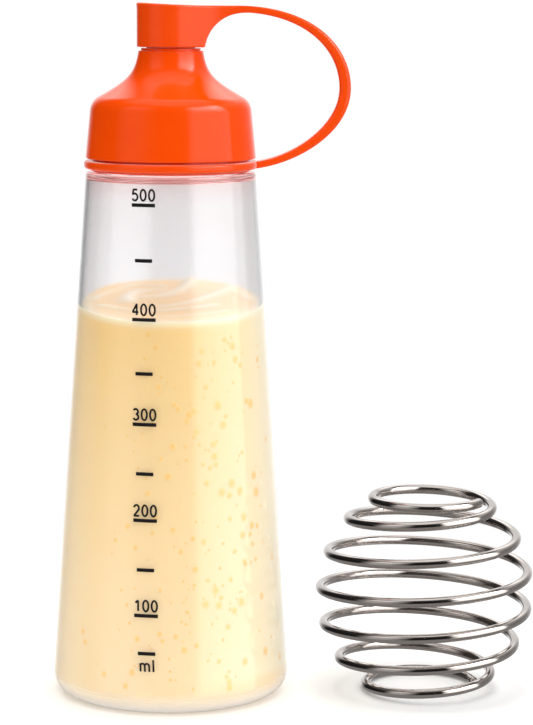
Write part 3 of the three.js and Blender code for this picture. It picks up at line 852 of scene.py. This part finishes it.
def on_wall(across, height):
    """Points on the wall's outside: the column's middle at that height, plus a distance along the
    wall's curve, just proud of the surface. The scale faces -Y."""
    share = (np.asarray(height) - COLUMN_FOOT) / (COLUMN_TOP - COLUMN_FOOT)
    middle = COLUMN_FOOT_X + (COLUMN_TOP_X - COLUMN_FOOT_X) * np.clip(share, 0, 1.1) ** 0.6
    radius = wall_radius(np.asarray(height), -INK_PROUD)
    angle = np.arcsin(middle / radius) + np.asarray(across) / radius
    return np.column_stack([radius * np.sin(angle), -radius * np.cos(angle), height])


def oval(x, y, across, up, start, end):
    """Part of an ellipse, from one angle to another in degrees."""
    angle = np.radians(np.linspace(start, end, 37))
    return np.column_stack([x + across * np.cos(angle), y + up * np.sin(angle)])


def stem(*spots):
    """Straight strokes through the spots."""
    return np.array(spots, float)


# Middle lines of the strokes of each character, in a unit box
STROKES = {
    "0": [oval(0.5, 0.5, 0.5, 0.5, 0, 360)],
    "1": [stem((0.65, 0), (0.65, 1)), stem((0.65, 1), (0.15, 0.76))],
    "2": [np.vstack([oval(0.5, 0.71, 0.47, 0.29, 168, -28), (0.02, 0.0)]), stem((-0.05, 0), (1, 0))],
    "3": [oval(0.48, 0.76, 0.43, 0.24, 155, -90), oval(0.48, 0.26, 0.5, 0.26, 90, -155)],
    "4": [stem((0.76, 0), (0.76, 1.05)), stem((0.76, 1), (-0.02, 0.3)), stem((-0.1, 0.27), (1.1, 0.27))],
    "5": [stem((0.95, 1), (0.15, 1)), stem((0.2, 1.0), (0.06, 0.5)),
          oval(0.48, 0.32, 0.52, 0.32, 140, -155)],
    "m": [stem((0, 0), (0, 0.76)), np.vstack([oval(0.25, 0.5, 0.25, 0.23, 180, 0), (0.5, 0)]),
          np.vstack([oval(0.75, 0.5, 0.25, 0.23, 180, 0), (1, 0)])],
    "l": [stem((0.5, 0), (0.5, 1.1))],
}


def ribbon(line):
    """A stroke of ink: the middle line moved half a stroke to both sides, square to itself."""
    way = np.gradient(line, axis=0)
    way /= np.linalg.norm(way, axis=1, keepdims=True)
    aside = np.column_stack([-way[:, 1], way[:, 0]]) * STROKE / 2
    edges = np.stack([line + aside, line - aside])
    count = len(line)
    faces = [np.array([i, i + count, i + count + 1, i + 1]) for i in range(count - 1)]
    return on_wall(edges[..., 0].ravel(), edges[..., 1].ravel()), faces


def writing(text, foot, height, widths, gap=DIGIT_GAP):
    """Characters side by side, centred on the column."""
    total = sum(widths) + gap * (len(text) - 1)
    marks, left = [], -total / 2
    for character, width in zip(text, widths):
        box = np.array([width - STROKE, height - STROKE])
        corner = np.array([left, foot]) + STROKE / 2
        marks += [ribbon(corner + stroke * box) for stroke in STROKES[character]]
        left += width + gap
    return marks


def bar(width, middle):
    """A bar of ink: a grid that follows the wall's curve."""
    across, up = np.meshgrid(np.linspace(-width / 2, width / 2, 9),
                             middle + np.array([-0.5, 0.5]) * BAR_THICKNESS)
    faces = [np.array([i, i + 1, i + 10, i + 9]) for i in range(8)]
    return on_wall(across.ravel(), up.ravel()), faces


def scale_print():
    """All the bars, the numbers above the long ones, and the unit below the last."""
    marks = writing("ml", UNIT_FOOT, UNIT_HEIGHT, (UNIT_WIDTH, STROKE), UNIT_GAP)
    for volume, height in MARK_HEIGHTS.items():
        numbered = volume % 100 == 0
        marks.append(bar(LONG_BAR if numbered else SHORT_BAR, height))
        if numbered:
            marks += writing(str(volume), height + DIGIT_RISE, DIGIT_HEIGHT, (DIGIT_WIDTH,) * 3)
    points, faces, count = [], [], 0
    for spots, shapes in marks:
        points.append(spots)
        faces += [shape + count for shape in shapes]
        count += len(spots)
    return new_object("scale_print", np.vstack(points), faces)


# The pieces

polyethylene = translucent_polyethylene()
# Screen-printed black ink: a thin matt film with faint unevenness
printing_ink = grained("printing_ink", 0.8, 2, ("0a0809", "1c191a"), 0.6, {"Specular IOR Level": 0.2})
# Injection-moulded orange polypropylene from a polished mould: deep colour under a sharp gloss
orange_gloss = grained("gloss_polypropylene", 9, 2, ORANGES, (0.07, 0.12),
                       {"IOR": 1.49, "Specular IOR Level": 0.22})
# Moulded orange polyethylene elastomer: the lid's colour with a softer, waxy gloss
orange_satin = grained("satin_elastomer", 7, 1, ORANGES, (0.16, 0.22),
                       {"IOR": 1.48, "Specular IOR Level": 0.3})
# Die-cut silicone sheet: off-white, matt, with a dusty skin
silicone = grained("silicone", 1, 2, ("e4e3dc", "f1f0ea"), 0.65, {"IOR": 1.41})
# Drawn stainless wire, tumbled to a polish: bright, faintly uneven reflections, a warm grey tone
stainless = grained("polished_stainless_wire", 4, 4, ("b4aca7", "c0b8b3"), (0.08, 0.14), {"Metallic": 1.0})

wall = finish(closed_piece("bottle_wall", turned(bottle_section())), polyethylene,
              "bottle", ["bottle"])
finish(closed_piece("neck_thread", thread_points()), polyethylene, "bottle")
ink = finish(scale_print(), printing_ink, "bottle")
film = ink.modifiers.new("film", "SOLIDIFY")
film.thickness = INK_FILM * MM
batter = finish(batter_fill(), thick_batter("thick_batter", 0.4), "bottle", ["batter"], sharp=80)
bubbles = finish(wall_bubbles(), thick_batter("batter_bubbles", 0.0), "bottle")

lid = finish(closed_piece("lid_shell", turned(lid_section()), rows_close=True), orange_gloss,
             "lid", ["lid"])
seal_section = ring_section(NECK_BORE, SEAL_RADIUS, SEAL_BOTTOM, SEAL_TOP, SEAL_ROUND)
finish(closed_piece("seal_ring", turned(seal_section), rows_close=True), silicone,
       "lid", ["lid_seal"])

band_section = ring_section(RING_BORE, RING_RADIUS, RING_BOTTOM, RING_TOP, RING_ROUND)
finish(closed_piece("ring_band", turned(band_section), rows_close=True), orange_satin,
       "tether", ["tether_ring"])
strap = finish(closed_piece("strap_loop", strap_points()), orange_satin, None,
               ["tether_strap"])
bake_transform(strap)
cap = closed_piece("cap_moulding", cap_points())
remesh = cap.modifiers.new("even", "REMESH")
remesh.mode = "VOXEL"
remesh.voxel_size = CAP_VOXEL * MM
soften = cap.modifiers.new("soft_edges", "SMOOTH")
soften.factor = 0.5
soften.iterations = CAP_SOFTENING
applied(cap, "cap_moulding")
finish(cap, orange_satin, "tip_cap", ["tip_cap"], sharp=80)

finish(closed_piece("ball_wire", ball_wire_points()), stainless, "mixing_ball", ["mixing_ball"],
       sharp=50)

# Gloss shows the studio and not these neighbours, whose colours would fill the wires and the wall
for neighbour in (wall, batter, bubbles, lid, strap):
    neighbour.visible_glossy = False


# Floor, light and camera

# What gloss reflects round the horizon: azimuth in degrees from the camera's side, growing to the
# right, and brightness. A large softbox stands at the right, a weak one at the left, a broad one behind,
# and nothing at the camera's place.
STUDIO_LEVELS = [
    (-180, 1.0), (-160, 1.0), (-150, 0.4), (-138, 0.02), (-82, 0.02), (-64, 0.65), (-44, 0.65),
    (-18, 0.02), (24, 0.02), (40, 3.6), (64, 4.2), (70, 5.6), (84, 5.6), (95, 0.3), (118, 0.3),
    (135, 0.4), (150, 0.7), (160, 1.0), (180, 1.0),
]
# How that changes with height: elevation in degrees from and to, value from and to
SOFTBOX_LIMIT = (13, 18, 2.2, 8.0)  # no brighter than this, so dimmer near the horizon
SOFTBOX_GAIN = (18, 36, 1.0, 2.3)
SOFTBOX_END = (40, 52, 1.0, 0.1)
CEILING_LEVEL = (46, 68, 0.0, 1.4)
FLOOR_EDGE = (-22, -12, 0.0, 1.0)
FLOOR_LEVEL = 0.36
DOME_LEVEL = 1.08
DOME_WAY = (0.5, -0.2, 0.84)  # the dome is brightest there
FLOOR_HALF = 6000.0
# Lamps for matt surfaces: name, azimuth, elevation, distance, width, height, radiance and aim
LAMPS = [
    ("key_softbox", 40, 14, 1.0, 1.0, 1.0, 1.1, (0.03, 0, 0.11)),
    ("back_softbox", 170, 34, 1.0, 1.0, 1.0, 1.8, (0.03, 0, 0.11)),
    ("top_softbox", 0, 86, 0.9, 0.5, 0.5, 4.6, (0.01, 0, 0.2)),
    ("fill_card", -70, 0, 0.22, 0.3, 0.13, 0.85, (0, 0, 0.065)),
]
CAMERA_PLACE = (0.0305, -0.820, 0.2197)
CAMERA_PITCH = math.radians(82.12)  # from straight down
CAMERA_ROLL = 0.005
CAMERA_LENS = 128.95
CAMERA_SENSOR = 36  # height


def paper_floor():
    """Level square of paper under the object."""
    corners = [(x * FLOOR_HALF, y * FLOOR_HALF, 0) for x, y in ((-1, -1), (1, -1), (1, 1), (-1, 1))]
    floor = new_object("floor", corners, [(0, 1, 2, 3)])
    floor.data.materials.append(studio_paper())
    floor.visible_glossy = False


def softbox(name, azimuth, elevation, distance, width, height, radiance, aim):
    """Rectangular lamp that faces its aim and lights matt surfaces. Azimuth 0 is the camera's side and
    grows to the right."""
    lamp = bpy.data.lights.new(name, "AREA")
    lamp.shape = "RECTANGLE"
    lamp.size = width
    lamp.size_y = height
    lamp.energy = radiance * math.pi * width * height
    holder = bpy.data.objects.new(name, lamp)
    bpy.context.scene.collection.objects.link(holder)
    around, up = math.radians(azimuth), math.radians(elevation)
    turn = Matrix.Rotation(around, 4, "Z") @ Matrix.Rotation(math.pi / 2 - up, 4, "X")
    holder.matrix_world = Matrix.Translation(aim) @ turn @ Matrix.Translation((0, 0, distance))
    holder.visible_glossy = False


def studio_world():
    """White for the camera and through clear things. Matt surfaces see a soft dome, brightest to the
    right of overhead. Gloss sees the studio: softboxes round the horizon that are brighter higher up
    and end about halfway to the zenith, a ceiling above them, and the floor below."""
    world = bpy.data.worlds.new("studio")
    bpy.context.scene.world = world
    world.use_nodes = True
    world.cycles.sampling_method = "NONE"
    tree = world.node_tree
    tree.nodes.clear()
    way = add(tree, "ShaderNodeTexCoord").outputs["Generated"]
    facing = add(tree, "ShaderNodeVectorMath", {0: way, 1: DOME_WAY}, operation="DOT_PRODUCT")
    dome = spread(tree, facing.outputs["Value"], start=-1.0, high=DOME_LEVEL)
    parts = add(tree, "ShaderNodeSeparateXYZ", {"Vector": way}).outputs
    azimuth = maths(tree, "ARCTAN2", parts["X"], maths(tree, "MULTIPLY", parts["Y"], -1.0))
    horizon = ramp(tree, spread(tree, azimuth, -math.pi, math.pi),
                   [((degrees + 180) / 360, (level, level, level, 1)) for degrees, level in STUDIO_LEVELS])
    elevation = maths(tree, "ARCSINE", parts["Z"])

    def rise(start, end, low, high):
        return spread(tree, elevation, math.radians(start), math.radians(end), low, high, "SMOOTHSTEP")

    boxes = maths(tree, "MINIMUM", horizon, rise(*SOFTBOX_LIMIT))
    for change in (SOFTBOX_GAIN, SOFTBOX_END):
        boxes = maths(tree, "MULTIPLY", boxes, rise(*change))
    above = maths(tree, "MAXIMUM", boxes, rise(*CEILING_LEVEL))
    studio = mixed(tree, rise(*FLOOR_EDGE), FLOOR_LEVEL, above, "FLOAT")
    path = add(tree, "ShaderNodeLightPath").outputs
    lit = mixed(tree, path["Is Glossy Ray"], dome, studio, "FLOAT")
    strength = mixed(tree, seen_straight(tree), lit, 1.0, "FLOAT")
    light = add(tree, "ShaderNodeBackground", {"Color": (1, 1, 1, 1), "Strength": strength})
    add(tree, "ShaderNodeOutputWorld", {"Surface": light.outputs[0]})


def photo_camera():
    """Camera level with the cap's top, pitched down by about 8 degrees and rolled by a third of one."""
    lens = bpy.data.cameras.new("camera")
    lens.sensor_fit = "VERTICAL"
    lens.sensor_height = CAMERA_SENSOR
    lens.lens = CAMERA_LENS
    holder = bpy.data.objects.new("camera", lens)
    bpy.context.scene.collection.objects.link(holder)
    turn = Matrix.Rotation(CAMERA_PITCH, 4, "X") @ Matrix.Rotation(CAMERA_ROLL, 4, "Z")
    holder.matrix_world = Matrix.Translation(CAMERA_PLACE) @ turn
    bpy.context.scene.camera = holder


paper_floor()
for lamp_values in LAMPS:
    softbox(*lamp_values)
studio_world()
photo_camera()
bpy.context.scene.view_settings.view_transform = "Standard"
